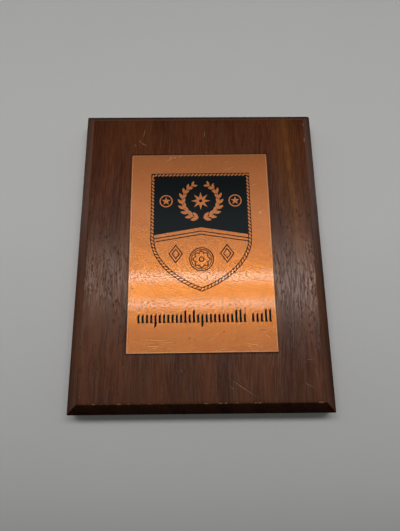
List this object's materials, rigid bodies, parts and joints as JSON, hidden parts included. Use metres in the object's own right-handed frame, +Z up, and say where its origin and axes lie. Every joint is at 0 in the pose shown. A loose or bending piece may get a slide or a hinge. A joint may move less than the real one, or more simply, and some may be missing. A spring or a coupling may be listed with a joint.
{
  "type": "commemorative plaque",
  "caption": "Upright bevelled wooden wall plaque with a thin copper plate on its front and a keyhole hanging slot in its back.",
  "frame": {"origin": "centre of the board's flat back, where the plaque meets the wall", "axes": "+X to the right seen from the front, +Z up along the plaque's height, +Y back into the wall, so the front faces -Y"},
  "size_m": [0.19, 0.0208, 0.24],
  "materials": {
    "wood": "dark red-brown stain under a thin satin varnish",
    "copper": "bright copper sheet with black enamel artwork, lacquered"
  },
  "bodies": {
    "root": {"board": "wood", "plate": "copper"}
  },
  "joints": []
}
